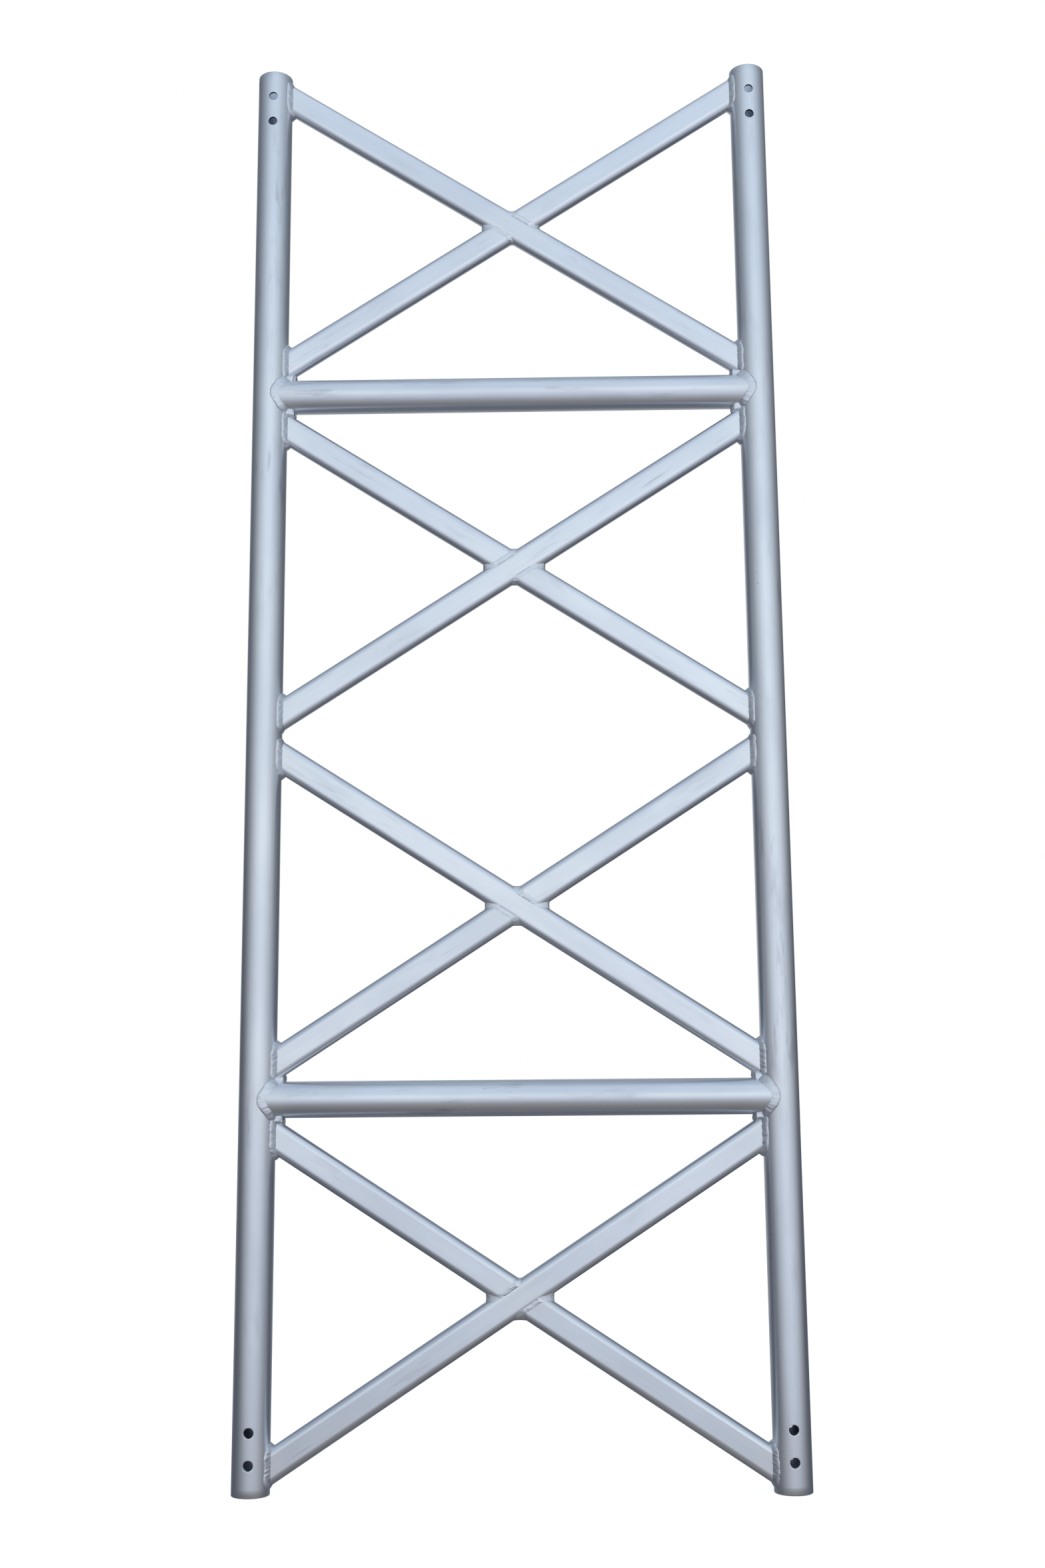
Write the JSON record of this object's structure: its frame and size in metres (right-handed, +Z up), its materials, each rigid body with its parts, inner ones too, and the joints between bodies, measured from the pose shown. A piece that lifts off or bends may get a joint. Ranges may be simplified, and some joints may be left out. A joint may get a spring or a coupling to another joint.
{
  "type": "lighting truss section",
  "caption": "Flat welded aluminium ladder truss section with round chords, round cross tubes, X braces of flat-sided tube, open chord ends and bolt holes for spigots.",
  "frame": {"origin": "middle of the footprint, on the plane of the chords' lower ends", "axes": "+Z up along the chords, +X across from the left chord to the right chord, +Y through the depth away from the viewer"},
  "size_m": [0.75, 0.052, 2],
  "materials": {
    "chord_tube": "satin mill finish, bluish silver",
    "cross_tube": "satin mill finish, bluish silver",
    "brace_tube": "satin mill finish, bluish silver",
    "weld_bead": "bright rippled weld metal"
  },
  "bodies": {
    "root": {"left_chord": "chord_tube", "right_chord": "chord_tube", "upper_cross_tube": "cross_tube", "lower_cross_tube": "cross_tube", "brace_1_through": "brace_tube", "brace_1_left_half": "brace_tube", "brace_1_right_half": "brace_tube", "brace_2_through": "brace_tube", "brace_2_left_half": "brace_tube", "brace_2_right_half": "brace_tube", "brace_3_through": "brace_tube", "brace_3_left_half": "brace_tube", "brace_3_right_half": "brace_tube", "brace_4_through": "brace_tube", "brace_4_left_half": "brace_tube", "brace_4_right_half": "brace_tube", "upper_cross_left_weld": "weld_bead", "upper_cross_right_weld": "weld_bead", "lower_cross_left_weld": "weld_bead", "lower_cross_right_weld": "weld_bead", "brace_1_upper_left_weld": "weld_bead", "brace_1_upper_right_weld": "weld_bead", "brace_1_lower_left_weld": "weld_bead", "brace_1_lower_right_weld": "weld_bead", "brace_1_left_centre_weld": "weld_bead", "brace_1_right_centre_weld": "weld_bead", "brace_2_upper_left_weld": "weld_bead", "brace_2_upper_right_weld": "weld_bead", "brace_2_lower_left_weld": "weld_bead", "brace_2_lower_right_weld": "weld_bead", "brace_2_left_centre_weld": "weld_bead", "brace_2_right_centre_weld": "weld_bead", "brace_3_upper_left_weld": "weld_bead", "brace_3_upper_right_weld": "weld_bead", "brace_3_lower_left_weld": "weld_bead", "brace_3_lower_right_weld": "weld_bead", "brace_3_left_centre_weld": "weld_bead", "brace_3_right_centre_weld": "weld_bead", "brace_4_upper_left_weld": "weld_bead", "brace_4_upper_right_weld": "weld_bead", "brace_4_lower_left_weld": "weld_bead", "brace_4_lower_right_weld": "weld_bead", "brace_4_left_centre_weld": "weld_bead", "brace_4_right_centre_weld": "weld_bead"}
  },
  "joints": []
}
